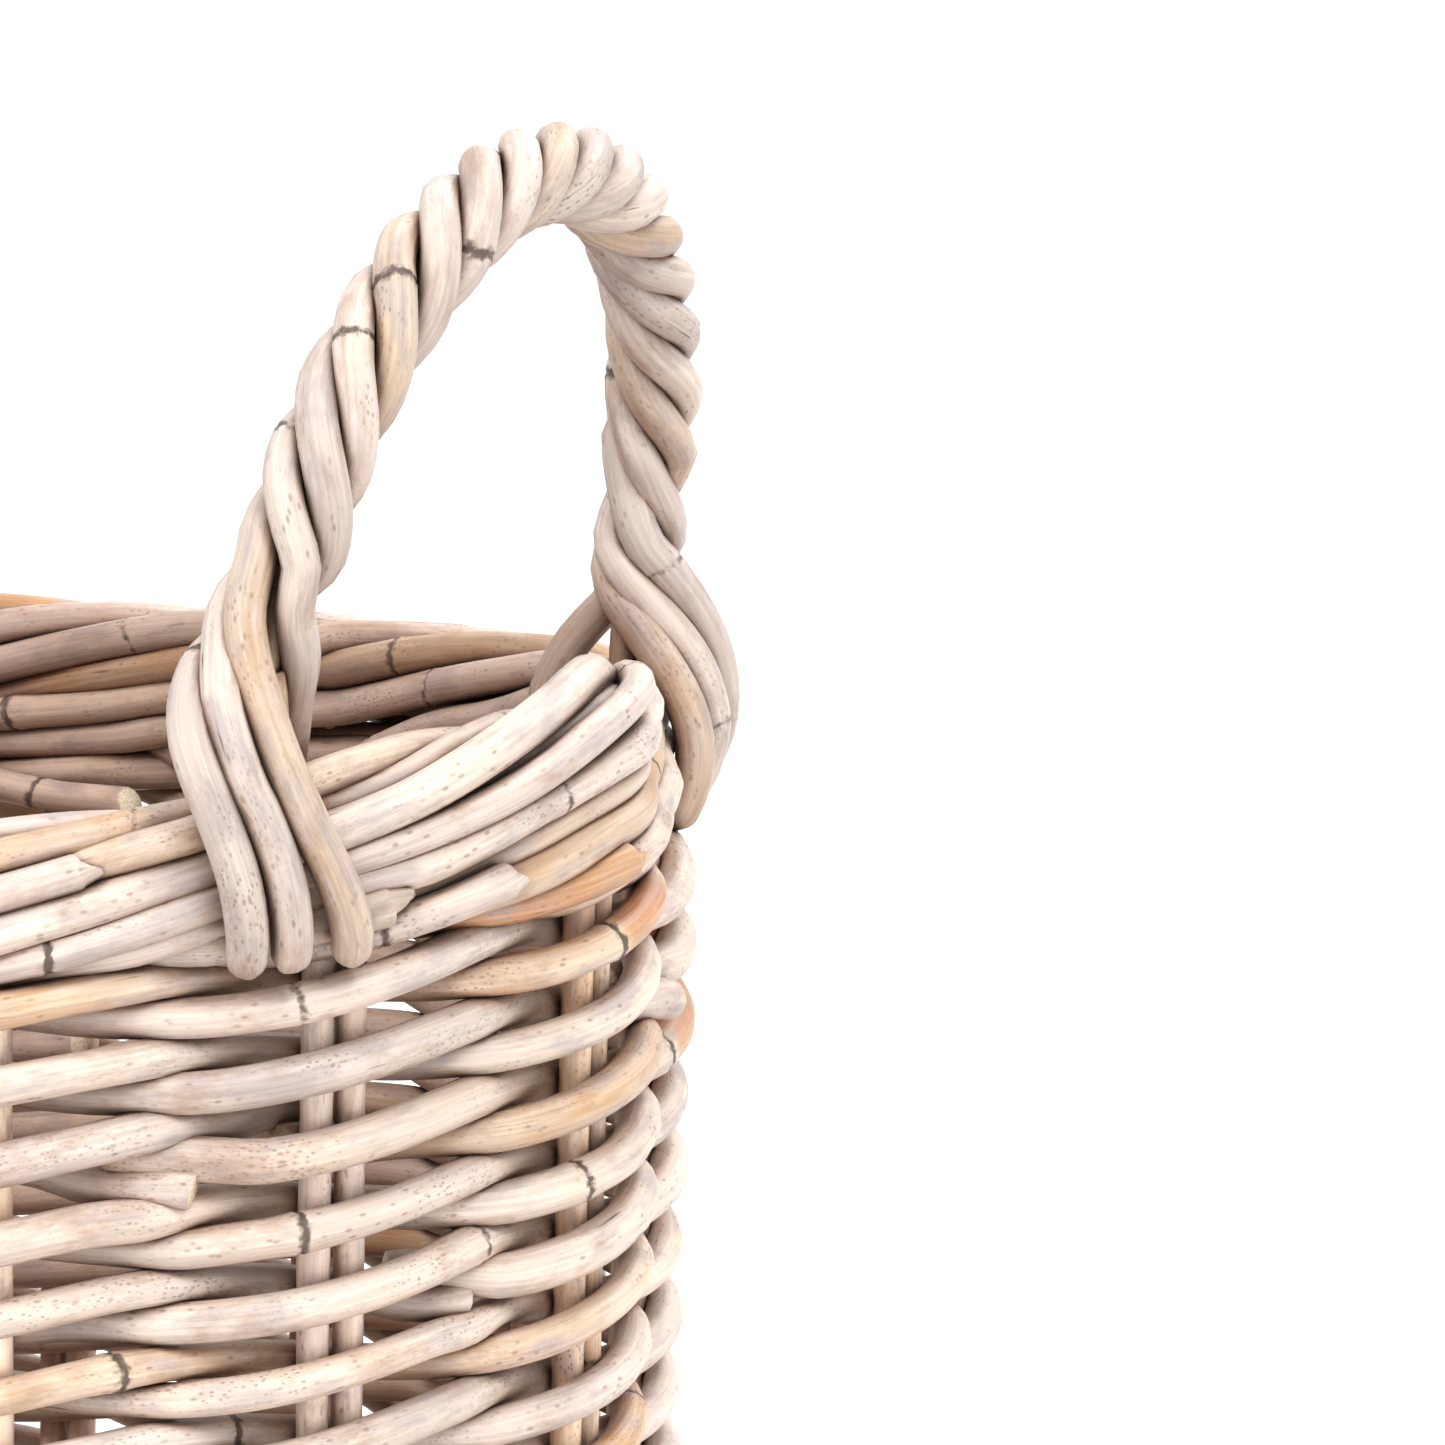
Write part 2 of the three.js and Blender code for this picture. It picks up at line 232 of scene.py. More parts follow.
def settle(lines, radii, fixed, fixed_radii, rounds):
    """Push lines apart where their canes would run into each other, or into the fixed ones."""
    every = [line.copy() for line in lines] + list(fixed)
    sizes = list(radii) + list(fixed_radii)
    owner = np.concatenate([np.full(len(line), i) for i, line in enumerate(every)])
    size = np.concatenate([np.full(len(line), radius) for line, radius in zip(every, sizes)])
    movable = sum(len(line) for line in lines)
    reach = 2 * max(sizes)
    homes = np.concatenate(lines)
    for _ in range(rounds):
        points = np.concatenate(every)
        tree = KDTree(len(points))
        for i, point in enumerate(points):
            tree.insert(point, i)
        tree.balance()
        mine, theirs = [], []
        for i in range(movable):
            near = [j for _, j, _ in tree.find_range(points[i], reach) if owner[j] != owner[i]]
            mine.extend([i] * len(near))
            theirs.extend(near)
        mine, theirs = np.array(mine), np.array(theirs)
        apart = points[mine] - points[theirs]
        distance = np.maximum(np.linalg.norm(apart, axis=1), 0.1 * MM)
        overlap = np.maximum(size[mine] + size[theirs] - distance, 0)
        share = np.where(theirs < movable, 0.25, 0.5)
        push = np.zeros((movable, 3))
        count = np.zeros(movable)
        np.add.at(push, mine, apart / distance[:, None] * (overlap * share)[:, None])
        np.add.at(count, mine, overlap > 0)
        moved = points[:movable] + push / np.maximum(count, 1)[:, None] * 1.6
        moved += 0.03 * (homes - moved)
        at = 0
        for k, line in enumerate(lines):
            every[k] = smooth_line(moved[at:at + len(line)], 1)
            at += len(line)
    return every[:len(lines)]


def scar_places(rng, length, gap):
    """Distances along a cane of its leaf scars."""
    scars = []
    place = rng.uniform(0.1, 1.0) * gap
    while place < length - SCAR_FROM_END:
        if place > SCAR_FROM_END:
            scars.append(place)
        place += gap * rng.uniform(0.7, 1.4)
    return scars


def ring_places(length, scars, tips):
    """Distances along a cane of its rings of vertices, closer at leaf scars and rounded ends."""
    count = max(4, int(round(length / STEP)))
    base = np.linspace(0, length, count)
    keep = np.ones(count, bool)
    for scar in scars:
        keep &= (np.abs(base - scar) > SCAR_CLEARING) | (base == 0) | (base == length)
    s = np.concatenate([base[keep]] + [scar + SCAR_OFFSETS for scar in scars])
    s = np.concatenate([s, tips[0] * TIP_RINGS, length - tips[1] * TIP_RINGS])
    s = np.unique(s[(s > CUT_BEVEL * 1.5) & (s < length - CUT_BEVEL * 1.5)])
    return np.concatenate([[0, CUT_BEVEL], s, [length - CUT_BEVEL, length]])


def scar_shape(rng, s, scars):
    """How swollen, dark and tilted each ring is by the leaf scars."""
    swell, dark, tilt = np.zeros((3, len(s)))
    for scar in scars:
        near = np.abs(s - scar) < SCAR_REACH
        past = s[near] - scar
        strength = rng.uniform(0.4, 1.5)
        swell[near] += strength * np.interp(past, SCAR_OFFSETS, SCAR_SWELL)
        shade = min(1.0, strength) * np.interp(past, SCAR_OFFSETS, SCAR_DARK)
        dark[near] = np.maximum(dark[near], shade)
        tilt[near] = rng.uniform(-0.35, 0.35) * (1 - np.abs(past) / SCAR_REACH)
    return swell, dark, tilt


def unit(v):
    return v / np.linalg.norm(v)


def carried_frame(centre, s):
    """The direction of a line, and two directions across it that don't twist along it."""
    tangent = np.gradient(centre, s, axis=0)
    tangent /= np.linalg.norm(tangent, axis=1, keepdims=True)
    side = np.empty_like(tangent)
    side[0] = unit(np.cross(tangent[0], [0.31, 0.17, 0.93]))
    for i in range(1, len(s)):
        side[i] = unit(side[i - 1] - side[i - 1].dot(tangent[i]) * tangent[i])
    return tangent, side, np.cross(tangent, side)


class Canes:
    """Canes gathered into one piece."""

    def __init__(self, seed):
        self.rng = np.random.default_rng(seed)
        self.vertices = []
        self.faces = []
        self.grain = []  # place on the cane: two ways across it, and along it
        self.tone = []  # hue, wash, value
        self.marks = []  # leaf scar, cut face, nearness to an end
        self.inner = []  # how far it takes the browner, darker inside of the basket: less wash, and painted shade
        self.count = 0

    def add(self, line, radius, tone, scar_gap=0.2, taper=0.0, slants=(0.15, 0.15), tips=(0.0, 0.0),
            flush_chance=0.11):
        """One cane along line. slants say how obliquely its ends are cut, and tips over what length
        they are rounded off instead. At flush_chance the skin is orange up to one leaf scar."""
        rng = self.rng
        places = along_line(line)
        length = places[-1]
        scars = scar_places(rng, length, scar_gap)
        flushed = rng.random() < flush_chance and bool(scars)
        reach = rng.choice([-1, 1]) * rng.uniform(*FLUSH_REACH)
        s = ring_places(length, scars, tips)
        swell, dark, lean = scar_shape(rng, s, scars)
        centre = np.stack([np.interp(s, places, line[:, k]) for k in range(3)], -1)
        tangent, side, other = carried_frame(centre, s)

        thick = radius * (1 + wobble(rng, 0.11, 0.025)(s) + swell) * (1 - taper * s / length)
        thick[[0, -1]] *= CUT_NARROWING
        for tip, from_end in ((tips[0], s), (tips[1], length - s)):
            if tip:
                thick *= np.sqrt(1 - 0.93 * (1 - np.minimum(from_end / tip, 1)) ** 2)
        turn = np.arange(SIDES) / SIDES * 2 * pi
        oval = 1 + 0.03 * np.cos(2 * (turn - rng.uniform(0, pi)))
        c = np.cos(turn) * oval
        d = np.sin(turn) * oval
        facing = c[None, :, None] * side[:, None, :] + d[None, :, None] * other[:, None, :]
        lean[:2] = slants[0]
        lean[-2:] = slants[1]
        lean_turn = np.cos(turn - rng.uniform(0, 2 * pi))
        leaning = (radius * lean)[:, None, None] * lean_turn[None, :, None] * tangent[:, None, :]
        ring = centre[:, None, :] + thick[:, None, None] * facing + leaning
        self.vertices += [ring.reshape(-1, 3), centre[[0, -1]]]

        n = len(s)
        index = self.count + np.arange(n * SIDES).reshape(n, SIDES)
        after = np.roll(index, -1, axis=1)
        quads = np.stack([index[:-1], after[:-1], after[1:], index[1:]], -1).reshape(-1, 4)
        cap = self.count + n * SIDES
        self.faces.extend(quads.tolist())
        self.faces.extend([[cap, after[0][i], index[0][i]] for i in range(SIDES)])
        self.faces.extend([[cap + 1, index[-1][i], after[-1][i]] for i in range(SIDES)])
        self.count += n * SIDES + 2

        offset = rng.uniform(-1, 1, 3)
        local = np.empty((n, SIDES, 3))
        local[..., 0] = radius * c[None]
        local[..., 1] = radius * d[None]
        local[..., 2] = s[:, None]
        self.grain += [local.reshape(-1, 3) + offset, np.array([[0, 0, 0], [0, 0, length]]) + offset]
        tones = np.tile(np.asarray(tone, float), (n, SIDES, 1))
        if flushed:
            along = (s - scars[0]) / reach
            flush = np.clip(along * 12, 0, 1) * np.clip((1 - along) * 3, 0, 1)
            tones[..., 0] += (FLUSH_HUE - tones[..., 0]) * flush[:, None]
            tones[..., 1] *= (1 - flush)[:, None]
        self.tone += [tones.reshape(-1, 3), tones[[0, -1], 0]]
        marks = np.zeros((n, SIDES, 3))
        marks[..., 0] = dark[:, None]
        marks[0, :, 1] = 0.0 if tips[0] else 1.0
        marks[-1, :, 1] = 0.0 if tips[1] else 1.0
        marks[..., 2] = np.exp(-np.minimum(s, length - s) / END_DIRT)[:, None]
        self.marks += [marks.reshape(-1, 3), np.array([[0, 1, 1], [0, 1, 1]], float)]
        self.inner.append(inside_wall(ring.reshape(-1, 3), facing.reshape(-1, 3)))
        self.inner.append(inside_wall(centre[[0, -1]], tangent[[0, -1]]))

    def finish(self, name, material, slot, *replaced):
        mesh = bpy.data.meshes.new(name)
        mesh.from_pydata(np.concatenate(self.vertices).tolist(), [], self.faces)
        for label, rows in (("grain", self.grain), ("tone", self.tone), ("marks", self.marks)):
            attribute = mesh.attributes.new(label, "FLOAT_VECTOR", "POINT")
            attribute.data.foreach_set("vector", np.concatenate(rows).ravel())
        attribute = mesh.attributes.new("inner", "FLOAT", "POINT")
        attribute.data.foreach_set("value", np.concatenate(self.inner))
        mesh.polygons.foreach_set("use_smooth", [True] * len(mesh.polygons))
        mesh.materials.append(material)
        mesh.update()
        piece = put_in_scene(name, mesh)
        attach(piece, "root")
        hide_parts(*replaced)


# ---- materials ----


class Tree:
    """Short names for the nodes that the cane material is made of."""

    def __init__(self, material):
        material.use_nodes = True
        self.nodes = material.node_tree.nodes
        self.links = material.node_tree.links
        self.nodes.clear()

    def node(self, kind, inputs=None, **settings):
        made = self.nodes.new("ShaderNode" + kind)
        for key, value in settings.items():
            setattr(made, key, value)
        for key, value in (inputs or {}).items():
            self.put(value, made.inputs[key])
        return made

    def put(self, value, socket):
        if isinstance(value, bpy.types.NodeSocket):
            self.links.new(value, socket)
        else:
            socket.default_value = value

    def math(self, operation, a, b=0.0, clamp=False):
        made = self.node("Math", operation=operation, use_clamp=clamp)
        self.put(a, made.inputs[0])
        self.put(b, made.inputs[1])
        return made.outputs[0]

    def attribute(self, name):
        return self.node("Attribute", attribute_name=name).outputs

    def parts(self, vector):
        return self.node("SeparateXYZ", {"Vector": vector}).outputs

    def times(self, a, b):
        return self.math("MULTIPLY", a, b)

    def around(self, noise, strength):
        """A noise brought down to vary round 0."""
        return self.times(self.math("SUBTRACT", noise, 0.5), strength)

    def spread(self, value, low, high, to_low=0.0, to_high=1.0):
        made = self.node("MapRange", {
            "Value": value, "From Min": low, "From Max": high, "To Min": to_low, "To Max": to_high})
        return made.outputs[0]

    def mix(self, factor, a, b, blend="MIX"):
        made = self.node("Mix", data_type="RGBA", blend_type=blend)
        self.put(factor, made.inputs["Factor"])
        self.put(a, made.inputs[6])
        self.put(b, made.inputs[7])
        return made.outputs[2]

    def tint(self, color, by):
        return self.mix(1.0, color, by, "MULTIPLY")

    def occlusion(self, reach):
        """1 in the open, less where something is within reach."""
        return self.node("AmbientOcclusion", {"Distance": reach}, samples=6).outputs["AO"]

    def noise(self, vector, scale, stretch, detail=3.0, roughness=0.55):
        """Noise drawn out along the cane: stretch is how much coarser it is that way."""
        scales = (scale, scale, scale / stretch)
        fit = self.node("Mapping", {"Vector": vector, "Scale": scales})
        made = self.node("TexNoise", {
            "Vector": fit.outputs[0], "Scale": 1.0, "Detail": detail, "Roughness": roughness})
        return made.outputs["Fac"]

    def ramp(self, value, stops):
        """A colour for each value from 0, at the first stop, to 1, at the last."""
        made = self.node("ValToRGB", {"Fac": value})
        elements = made.color_ramp.elements
        for element, (_, color) in zip(elements, (stops[0], stops[-1])):
            element.color = (*color, 1)
        for place, color in stops[1:-1]:
            elements.new(place).color = (*color, 1)
        return made.outputs[0]


HUES = [
    (0.0, (0.56, 0.44, 0.38)),  # silvered grey-brown
    (0.3, (0.77, 0.65, 0.54)),  # cream
    (0.55, (0.73, 0.56, 0.40)),  # straw
    (0.75, (0.64, 0.40, 0.21)),  # golden tan
    (1.0, (0.56, 0.25, 0.12)),  # orange brown
]
WASH = (0.71, 0.605, 0.555, 1)
LAVENDER = (0.43, 0.36, 0.36, 1)
DIRT = (0.07, 0.041, 0.029, 1)
PIT = (0.20, 0.105, 0.07, 1)
STAIN = (0.34, 0.20, 0.12, 1)
PITH = (0.80, 0.69, 0.52, 1)
PITH_RINGS = (0.42, 0.28, 0.17, 1)
# Partly grime, partly painted shade: nearly black deep in the crevices, brown round them.
CREVICE_SHADE_AND_GRIME = (0.06, 0.04, 0.033, 1)
# Less wash and painted shade on the inside of the basket.
INSIDE_BROWN_AND_SHADE = (0.62, 0.505, 0.445, 1)
# Painted shade: the tint under each cane and on its downward side.
UNDER_SHADE_TINT = (0.46, 0.33, 0.26, 1)
HALO_SHADE_AND_GRIME = (0.58, 0.42, 0.33, 1)
UNDER_REACH = 24 * MM
CREVICE_REACH = 7 * MM
BUMP_DEPTH = 0.35 * MM


def skin(t, grain, wash_shift):
    """The colour and shade of washed skin, how far it is covered, and the noises it is made of."""
    hue, wash, value = t.parts(t.attribute("tone")["Vector"])
    patches = t.noise(grain, 60, 3.0)
    streaks = t.noise(grain, 900, 28.0)
    fibres = t.noise(grain, 2600, 40.0, detail=2.0)
    blotches = t.noise(grain, 190, 3.0, detail=4.0, roughness=0.65)
    color = t.ramp(t.math("ADD", hue, t.around(patches, 0.9), clamp=True), HUES)
    # Greywash that lies thicker on some stretches and is rubbed off in streaks on others.
    cover = t.math("ADD", wash, wash_shift)
    cover = t.math("ADD", cover, t.around(blotches, 1.3))
    cover = t.math("ADD", cover, t.around(streaks, 0.9), clamp=True)
    color = t.mix(t.times(cover, 0.92), color, WASH)
    # Lavender-grey stretches, where the wash has stained the skin.
    stained = t.spread(t.noise(grain, 105, 2.6, detail=4.0, roughness=0.6), 0.51, 0.64)
    color = t.mix(t.times(stained, 0.62), color, LAVENDER)
    shade = t.spread(streaks, 0.3, 0.7, 0.80, 1.08)
    shade = t.times(shade, t.spread(fibres, 0.3, 0.7, 0.94, 1.04))
    shade = t.times(shade, t.spread(value, 0.0, 1.0, 0.88, 1.06))
    return color, shade, cover, streaks, fibres, blotches


def specks(t, grain, across, along, edge, full, groups):
    """Dots scattered over the skin, where groups is high."""
    fit = t.node("Mapping", {"Vector": grain, "Scale": (across, across, along)}).outputs[0]
    cells = t.node("TexVoronoi", {"Vector": fit, "Scale": 1.0, "Randomness": 1.0})
    return t.times(t.spread(cells.outputs["Distance"], edge, full), groups)


def flaws(t, grain, color):
    """Pits in loose groups, short dark cracks along the grain and brown stains."""
    groups = t.spread(t.noise(grain, 75, 2.0, detail=2.0), 0.47, 0.60)
    dusty = t.spread(t.noise(grain, 48, 1.6, detail=2.0), 0.52, 0.66)
    pits = t.math("MAXIMUM", specks(t, grain, 460, 230, 0.27, 0.12, groups),
                  specks(t, grain, 900, 520, 0.34, 0.18, dusty))
    color = t.mix(t.times(pits, 0.55), color, PIT)
    cracked = t.spread(t.noise(grain, 62, 1.5, detail=2.0), 0.56, 0.66)
    cracks = t.times(t.spread(t.noise(grain, 760, 18.0, detail=2.0), 0.335, 0.275), cracked)
    color = t.mix(t.times(cracks, 0.85), color, DIRT)
    browned = t.spread(t.noise(grain, 88, 2.2, detail=5.0, roughness=0.68), 0.53, 0.68)
    return t.mix(t.times(browned, 0.55), color, STAIN), t.math("MAXIMUM", pits, cracks)


def ends_and_scars(t, grain, color, scar, cut, end, blotches):
    """Ragged dark rings at the leaf scars, stains near the ends and pith on the cut faces."""
    ragged = t.around(t.noise(grain, 480, 1.0), 1.7)
    ring = t.spread(t.math("ADD", scar, ragged), 0.38, 0.80, 0.0, 0.9)
    color = t.mix(t.times(ring, t.spread(scar, 0.05, 0.3)), color, DIRT)
    stain = t.times(end, t.spread(blotches, 0.40, 0.62))
    color = t.mix(t.times(stain, 0.35), color, PIT)
    rings = t.noise(grain, 1500, 1.0, detail=1.0)
    return t.mix(cut, color, t.mix(t.spread(rings, 0.45, 0.62, 0.0, 0.55), PITH, PITH_RINGS))


def grime_and_shade(t, color, blotches, under_shade, crevices):
    """Painted shade: brown under each cane and on its downward side, brown round its crevices and
    nearly black deep in them, where it is partly grime too.
    """
    patchiness = t.around(blotches, 0.45)
    # Painted shade under each cane, wherever something lies within UNDER_REACH.
    under = t.spread(t.math("ADD", t.occlusion(UNDER_REACH), patchiness), 0.78, 0.30)
    upward = t.parts(t.node("NewGeometry").outputs["Normal"])["Z"]
    # Painted shade on the downward-facing side of each cane.
    lower = t.spread(t.math("ADD", upward, t.times(patchiness, -0.8)), 0.0, -0.9, 0.0, 0.75)
    under = t.math("MAXIMUM", under, lower)
    color = t.mix(t.times(under, 0.68 * under_shade), color, t.tint(color, UNDER_SHADE_TINT))
    # Round and in the crevices, partly grime and partly painted shade, found by occlusion within
    # CREVICE_REACH.
    crevice = t.math("ADD", t.occlusion(CREVICE_REACH), patchiness)
    halo = t.spread(crevice, crevices + 0.26, crevices - 0.05, 0.0, 0.55)
    color = t.mix(halo, color, t.tint(color, HALO_SHADE_AND_GRIME))
    crevice = t.spread(crevice, crevices, crevices - 0.32, 0.0, 0.93)
    return t.mix(crevice, color, CREVICE_SHADE_AND_GRIME)


def cane_material(name, brightness=1.0, wash_shift=0.0, gloss=0.42, under_shade=1.0, crevices=0.42):
    material = bpy.data.materials.new(name)
    t = Tree(material)
    grain = t.attribute("grain")["Vector"]
    inner = t.attribute("inner")["Fac"]
    scar, cut, end = t.parts(t.attribute("marks")["Vector"])

    color, shade, cover, streaks, fibres, blotches = skin(t, grain, wash_shift)
    # The inside of the basket got less of the wash and has stayed brown; it is also darkened there,
    # which is painted shade.
    color = t.mix(t.times(inner, 0.9), color, t.tint(color, INSIDE_BROWN_AND_SHADE))
    shade = t.times(shade, brightness)
    grey = t.node("CombineXYZ", {"X": shade, "Y": shade, "Z": shade}).outputs[0]
    color, hollows = flaws(t, grain, t.tint(color, grey))
    color = ends_and_scars(t, grain, color, scar, cut, end, blotches)
    # Painted shade under and round every cane; in the crevices it is partly grime as well.
    color = grime_and_shade(t, color, blotches, under_shade, crevices)

    height = t.math("ADD", t.times(streaks, 0.55), t.times(fibres, 0.25))
    height = t.math("ADD", height, t.times(blotches, 0.5))
    height = t.math("SUBTRACT", height, t.times(hollows, 0.5))
    bump = t.node("Bump", {"Height": height, "Strength": 0.55, "Distance": BUMP_DEPTH})
    rough = t.math("ADD", streaks, t.times(cover, 0.4))
    rough = t.spread(rough, 0.3, 1.1, gloss - 0.08, gloss + 0.16)
    rough = t.math("ADD", rough, t.times(cut, 0.3), clamp=True)
    shader = t.node("BsdfPrincipled", {
        "Base Color": color, "Roughness": rough, "Normal": bump.outputs[0]})
    shader.inputs["Specular IOR Level"].default_value = 0.45
    shader.inputs["IOR"].default_value = 1.48
    t.node("OutputMaterial", {"Surface": shader.outputs[0]})
    return material


# The stakes' brightness of 1.8 is painted light, lifting them out of the shade they lie in behind the
# weavers.
STAKE_CANE = cane_material("stake_cane", brightness=1.8, wash_shift=-0.3, gloss=0.50, under_shade=0.35)
WEAVER_CANE = cane_material("weaver_cane", brightness=1.02, under_shade=0.85, crevices=0.48)
BORDER_CANE = cane_material("border_cane", brightness=1.0, under_shade=0.9, crevices=0.54)
HANDLE_CANE = cane_material("handle_cane", brightness=0.9, crevices=0.50)
BASE_CANE = cane_material("base_cane", brightness=0.92, gloss=0.52)


def pick_tone(rng, warmth=0.0):
    """Most canes are pale and washed, some are bare cream or straw, a few golden or orange brown."""
    kind = rng.random()
    value = rng.random()
    if kind < 0.46 - warmth:
        return rng.uniform(0.05, 0.4), rng.uniform(0.55, 0.85), value
    if kind < 0.80 - warmth:
        return rng.uniform(0.25, 0.55), rng.uniform(0.25, 0.5), value
    if kind < 0.96:
        return rng.uniform(0.5, 0.75), rng.uniform(0.1, 0.3), value
    return rng.uniform(0.8, 1.0), rng.uniform(0.0, 0.2), value


# ---- stakes ----

STAKE_RADIUS = 3.8 * MM
STAKE_OFFSET = 4.5 * MM


def stake_line(i, side, rng=None):
    angle = float(angle_at(i))
    z = np.linspace(FOOT_HIGH[2] - 5 * MM, rim_height(angle) - 0.55 * border_height(angle), 60)
    place = i + side * STAKE_OFFSET / SPACING + 0 * z
    out = 0 * z
    if rng:
        place += wobble(rng, 0.3, 0.25 * MM)(z) / SPACING
        out += wobble(rng, 0.25, 0.2 * MM)(z)
    return wall_points(place, z, out)


def make_stakes():
    for i, node in enumerate(STAKE_NODES):
        canes = Canes(100 + i)
        rng = canes.rng
        for side in (-1, 1):
            radius = STAKE_RADIUS * rng.uniform(0.95, 1.04)
            canes.add(stake_line(i, side, rng), radius, pick_tone(rng), scar_gap=0.26)
        canes.finish(node + "_canes", STAKE_CANE, "stake_rattan", node)


# ---- rows of pairing ----

WEAVER_RADIUS = 4.95 * MM
CROSSING_RISE = 4.75 * MM
STEPS_PER_PAIR = 20
ROOM_BETWEEN = 0.2 * MM  # between a weaver and the stakes it passes
CANE_REACH = (8.5, 13)  # stake pairs from one joint of a weaver to the next
SHORTEST_CANE = 3
JOINT_OVERLAPS = (0.14, 0.1)  # in stake pairs, before and after a joint
OUTSIDE_JOINTS = 0.3  # share of the joints that show outside
PACKING_REACH = 2.3  # stake pairs either side of the end
ROW_SEED = 3
ROW_ROUNDS = 8
PACKING_NODES = ["packing_row_right", "packing_row_left"]


def weaver_line(first, last, z, phase, radius, rng):
    """A weaver passing outside one pair and inside the next, rising over its partner between."""
    pairs = np.linspace(first, last, int((last - first) * STEPS_PER_PAIR) + 1)
    turn = phase + pi * pairs
    reach = STAKE_RADIUS + radius + ROOM_BETWEEN
    out = reach * np.cos(turn) + wobble(rng, 0.31, 0.45 * MM)(pairs * SPACING)
    rise = CROSSING_RISE * np.sin(turn) + wobble(rng, 0.27, 0.75 * MM)(pairs * SPACING)
    rise = rise + 2.0 * uneven_rise(angle_at(pairs)) * (z / SIDE_RIM) ** 1.5
    return wall_points(pairs, z + rise, out)


def weaver_joints(phase, start, rng):
    """Where a weaver's canes meet end to end: mostly inside, behind the stakes."""
    inside = 1 if phase == 0 else 0  # the pairs that this weaver passes inside are odd or even
    joints = [start + inside]
    latest = start + inside + PAIRS - SHORTEST_CANE
    while joints[-1] < latest:
        place = joints[-1] + rng.uniform(*CANE_REACH)
        if place > latest:
            break
        joints.append(2 * round((place - inside) / 2) + inside)
    for i in range(len(joints)):
        if rng.random() < OUTSIDE_JOINTS:
            joints[i] += rng.uniform(0.3, 0.55)
    return joints + [joints[0] + PAIRS]


def row_lines():
    """The line, radius and node of every weaver, settled against its neighbours and the stakes."""
    rng = np.random.default_rng(ROW_SEED)
    weavers = []
    for node in ROW_NODES:
        start = 2 * int(rng.integers(0, PAIRS // 2))
        for phase in (0.0, pi):
            joints = weaver_joints(phase, start, rng)
            for begin, end in zip(joints[:-1], joints[1:]):
                radius = WEAVER_RADIUS * rng.uniform(0.89, 1.08)
                first = begin - JOINT_OVERLAPS[0]
                last = end + JOINT_OVERLAPS[1]
                line = weaver_line(first, last, node_middle(node), phase, radius, rng)
                weavers.append((line, radius, node))
    for end, node in enumerate(PACKING_NODES):
        for phase in (0.0, pi):
            radius = WEAVER_RADIUS * rng.uniform(0.93, 1.02)
            first = end * PAIRS / 2 - PACKING_REACH
            last = end * PAIRS / 2 + PACKING_REACH
            line = weaver_line(first, last, node_middle(node), phase, radius, rng)
            weavers.append((line, radius, node))
    lines, radii, nodes = zip(*weavers)
    stakes = [stake_line(i, side) for i in range(PAIRS) for side in (-1, 1)]
    snug = [SNUG * radius for radius in radii]
    lines = settle(lines, snug, stakes, [SNUG * STAKE_RADIUS] * len(stakes), ROW_ROUNDS)
    return list(zip(lines, radii, nodes))


def make_rows():
    made = {node: Canes(200 + i) for i, node in enumerate(ROW_NODES + PACKING_NODES)}
    for line, radius, node in ROW_LINES:
        rng = made[node].rng
        tone = pick_tone(rng, 0.25 if node in PACKING_NODES else 0.0)
        made[node].add(line, radius, tone, scar_gap=rng.uniform(0.16, 0.34), taper=0.05)
    for node, canes in made.items():
        canes.finish(node + "_canes", WEAVER_CANE, "weaver_rattan", node)


# ---- rolled border ----

LANES = 9  # canes side by side round the border's section
ROLL_PAIRS = 6.0  # a cane makes one turn in this many stake pairs
FIRST_SHARE = -0.30  # of the way round the section, where a cane comes out from under the border
LAST_SHARES = (0.76, 0.88)
BORDER_RADIUS = 4.75 * MM
BORDER_STEP = 4 * MM
BORDER_SEED = 7
SETTLE_ROUNDS = 14
GOLDEN_STRAND = 17  # it ends under the right handle, and has kept the colour of its skin
GOLDEN = (0.76, 0.05, 0.85)

FILLERS = 5  # short canes between the feet of each handle
FILLER_RADIUS = 4.2 * MM
FILLER_REACH = 1.23  # stake pairs either side of the end
CORE_SHARES = (0.22, 0.45, 0.68, 0.9)  # how far down the border the canes inside it lie
CORE_RADIUS = 4.2 * MM
CORE_COLOR = (0.7, 0.1, 0.2)
SPARE_END = (3.6, 6.2)  # where it starts and goes in, in stake pairs round the wall
SPARE_DOWN = (36 * MM, 13 * MM)  # below the rim, and how much more at its free end
SPARE_IN = (13 * MM, 6 * MM)  # from the stake line inwards, the same way
SPARE_COLOR = (0.3, 0.5, 0.9)

# At the feet of a handle the border is drawn in by these shares of its depth and height.
TIED_DEPTH = 0.45
TIED_HEIGHT = 0.08
TIED_DOWN = 1.5 * MM
# Before the far foot its outer canes turn in and down; all along the handle they are pressed down.
DRAWN_IN = 9.0 * MM
DRAWN_DOWN = 5.0 * MM
PRESSED_DOWN = 3.0 * MM
OUTER_CANES = 8 * MM  # canes further out than this move fully, and as far inside not at all
# A splice: how many points the second cane starts before the first one's end, and how far under it.
SPLICE_CHANCE = 0.3
SPLICE_POINTS = 5
SPLICE_DEPTH = 7 * MM
TUCK_LENGTH = 24 * MM
TUCK_DEPTH = 13 * MM
BORDER_TIPS = (0.0, 2.5 * MM)


